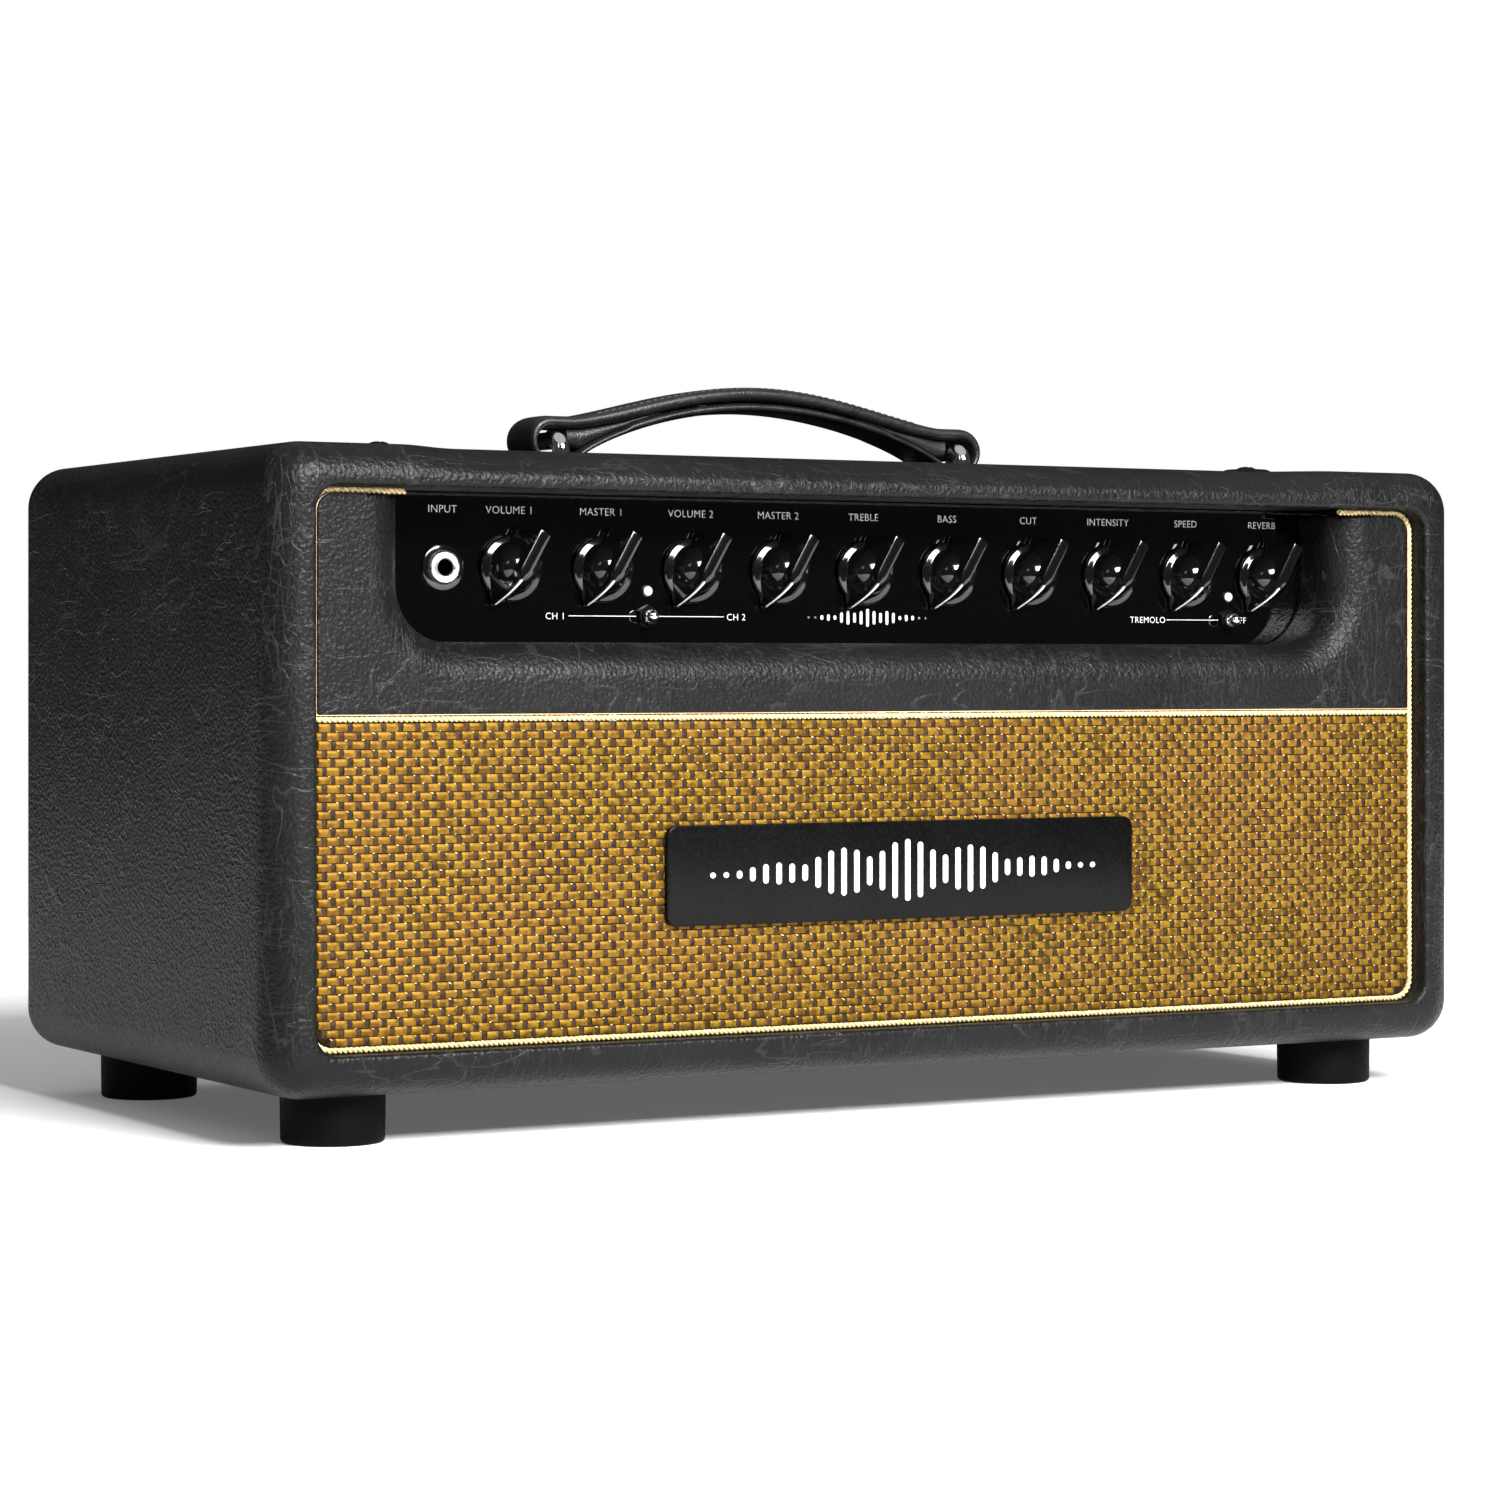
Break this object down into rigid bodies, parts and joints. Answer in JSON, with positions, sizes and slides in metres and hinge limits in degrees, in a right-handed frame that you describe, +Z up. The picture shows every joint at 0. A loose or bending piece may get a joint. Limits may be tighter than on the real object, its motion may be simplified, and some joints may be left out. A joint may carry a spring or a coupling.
{
  "type": "guitar amp head",
  "caption": "Valve guitar amplifier head in a black covered cabinet with a recessed gloss control panel, pointer knobs, woven gold grille cloth and a strap handle.",
  "frame": {"origin": "on the floor under the middle of the cabinet, at the bottom of the rubber feet", "axes": "+X to the right of the control panel as the player sees it, +Y to the back of the cabinet, +Z up"},
  "size_m": [0.559, 0.2744, 0.3019],
  "materials": {
    "plywood": "sealed birch plywood",
    "vinyl_covering": "embossed black vinyl cloth, satin",
    "grille_cloth": "gold and brown basket weave",
    "piping": "twisted cream-gold cord",
    "name_plate": "satin black",
    "foot_rubber": "matt",
    "zinc_steel": "zinc plated",
    "handle_leather": "smooth black leather, satin",
    "chrome": "polished",
    "chassis_steel": "grey plated steel",
    "panel_gloss": "mirror-gloss black",
    "rear_plate_black": "satin black",
    "black_steel": "black finish",
    "pot_metal": "pressed steel",
    "lamp_lens": "milky lens",
    "black_plastic": "moulded",
    "jack_metal": "nickel plated",
    "vent_steel": "black powder coat",
    "transformer_iron": "black lacquer",
    "socket_ceramic": "glazed",
    "valve_glass": "clear glass",
    "board_laminate": "green laminate",
    "capacitor_sleeve": "shrink sleeve",
    "wire_sleeve": "woven sleeve",
    "tank_steel": "plain steel",
    "knob_plastic": "moulded phenolic, gloss"
  },
  "bodies": {
    "cabinet": {"top_board": "plywood", "bottom_board": "plywood", "left_board": "plywood", "right_board": "plywood", "cabinet_covering": "vinyl_covering", "upper_baffle": "plywood", "upper_baffle_covering": "vinyl_covering", "grille_board": "plywood", "grille_cloth": "grille_cloth", "front_piping": "piping", "name_plate": "name_plate", "side_cleats": "plywood", "rubber_feet": "foot_rubber", "foot_screws": "zinc_steel", "handle_brackets": "chrome", "handle_screws": "chrome", "chassis": "chassis_steel", "faceplate": "panel_gloss", "rear_plate": "rear_plate_black", "cup_washers": "black_steel", "chassis_bolts": "black_steel", "pot_bodies": "pot_metal", "indicator_lamps": "lamp_lens", "toggle_bodies": "chrome", "rear_toggle_bodies": "chrome", "input_jack": "black_plastic", "input_jack_nut": "chrome", "mains_inlet": "black_plastic", "fuse_holder": "black_plastic", "rear_jacks": "jack_metal", "back_panel": "vinyl_covering", "vent_grille": "vent_steel", "back_panel_screws": "black_steel", "power_transformer": "transformer_iron", "output_transformer": "transformer_iron", "choke": "transformer_iron", "valve_sockets": "socket_ceramic", "preamp_valves": "valve_glass", "power_valves": "valve_glass", "circuit_board": "board_laminate", "filter_capacitors": "capacitor_sleeve", "wiring_looms": "wire_sleeve", "reverb_tank": "tank_steel", "reverb_springs": "tank_steel"},
    "handle": {"handle_strap": "handle_leather"},
    "channel_switch": {"channel_toggle": "chrome"},
    "tremolo_switch": {"tremolo_toggle": "chrome"},
    "mains_switch": {"mains_toggle": "chrome"},
    "standby_switch": {"standby_toggle": "chrome"},
    "fuse_drawer": {"fuse_cap": "black_plastic"},
    "volume_1_control": {"knob_volume_1": "knob_plastic"},
    "master_1_control": {"knob_master_1": "knob_plastic"},
    "volume_2_control": {"knob_volume_2": "knob_plastic"},
    "master_2_control": {"knob_master_2": "knob_plastic"},
    "treble_control": {"knob_treble": "knob_plastic"},
    "bass_control": {"knob_bass": "knob_plastic"},
    "cut_control": {"knob_cut": "knob_plastic"},
    "intensity_control": {"knob_intensity": "knob_plastic"},
    "speed_control": {"knob_speed": "knob_plastic"},
    "reverb_control": {"knob_reverb": "knob_plastic"}
  },
  "joints": [
    {"name": "handle_lift", "type": "slide", "parent": "cabinet", "child": "handle", "axis": [0, 0, 1], "range_m": [0, 0.002]},
    {"name": "volume_1_turn", "type": "hinge", "parent": "cabinet", "child": "volume_1_control", "pos_m": [-0.1635, -0.1008, 0.2203], "axis": [0, 1, 0], "range_deg": [0, 300]},
    {"name": "master_1_turn", "type": "hinge", "parent": "cabinet", "child": "master_1_control", "pos_m": [-0.1231, -0.1008, 0.2203], "axis": [0, 1, 0], "range_deg": [0, 300]},
    {"name": "volume_2_turn", "type": "hinge", "parent": "cabinet", "child": "volume_2_control", "pos_m": [-0.0827, -0.1008, 0.2203], "axis": [0, 1, 0], "range_deg": [0, 300]},
    {"name": "master_2_turn", "type": "hinge", "parent": "cabinet", "child": "master_2_control", "pos_m": [-0.0423, -0.1008, 0.2203], "axis": [0, 1, 0], "range_deg": [0, 300]},
    {"name": "treble_turn", "type": "hinge", "parent": "cabinet", "child": "treble_control", "pos_m": [-0.0019, -0.1008, 0.2203], "axis": [0, 1, 0], "range_deg": [0, 300]},
    {"name": "bass_turn", "type": "hinge", "parent": "cabinet", "child": "bass_control", "pos_m": [0.0385, -0.1008, 0.2203], "axis": [0, 1, 0], "range_deg": [0, 300]},
    {"name": "cut_turn", "type": "hinge", "parent": "cabinet", "child": "cut_control", "pos_m": [0.0789, -0.1008, 0.2203], "axis": [0, 1, 0], "range_deg": [0, 300]},
    {"name": "intensity_turn", "type": "hinge", "parent": "cabinet", "child": "intensity_control", "pos_m": [0.1193, -0.1008, 0.2203], "axis": [0, 1, 0], "range_deg": [0, 300]},
    {"name": "speed_turn", "type": "hinge", "parent": "cabinet", "child": "speed_control", "pos_m": [0.1597, -0.1008, 0.2203], "axis": [0, 1, 0], "range_deg": [0, 300]},
    {"name": "reverb_turn", "type": "hinge", "parent": "cabinet", "child": "reverb_control", "pos_m": [0.2001, -0.1008, 0.2203], "axis": [0, 1, 0], "range_deg": [0, 300]},
    {"name": "channel_flip", "type": "hinge", "parent": "cabinet", "child": "channel_switch", "pos_m": [-0.1026, -0.101, 0.2019], "axis": [0, 0, 1], "range_deg": [0, 25]},
    {"name": "tremolo_flip", "type": "hinge", "parent": "cabinet", "child": "tremolo_switch", "pos_m": [0.1818, -0.101, 0.2019], "axis": [0, 0, 1], "range_deg": [0, 25]},
    {"name": "mains_flip", "type": "hinge", "parent": "cabinet", "child": "mains_switch", "pos_m": [0.126, 0.1092, 0.2176], "axis": [1, 0, 0], "range_deg": [0, 25]},
    {"name": "standby_flip", "type": "hinge", "parent": "cabinet", "child": "standby_switch", "pos_m": [0.094, 0.1092, 0.2176], "axis": [1, 0, 0], "range_deg": [0, 25]},
    {"name": "fuse_cap_turn", "type": "hinge", "parent": "cabinet", "child": "fuse_drawer", "pos_m": [0.16, 0.1052, 0.2176], "axis": [0, 1, 0], "range_deg": [0, 60]}
  ]
}
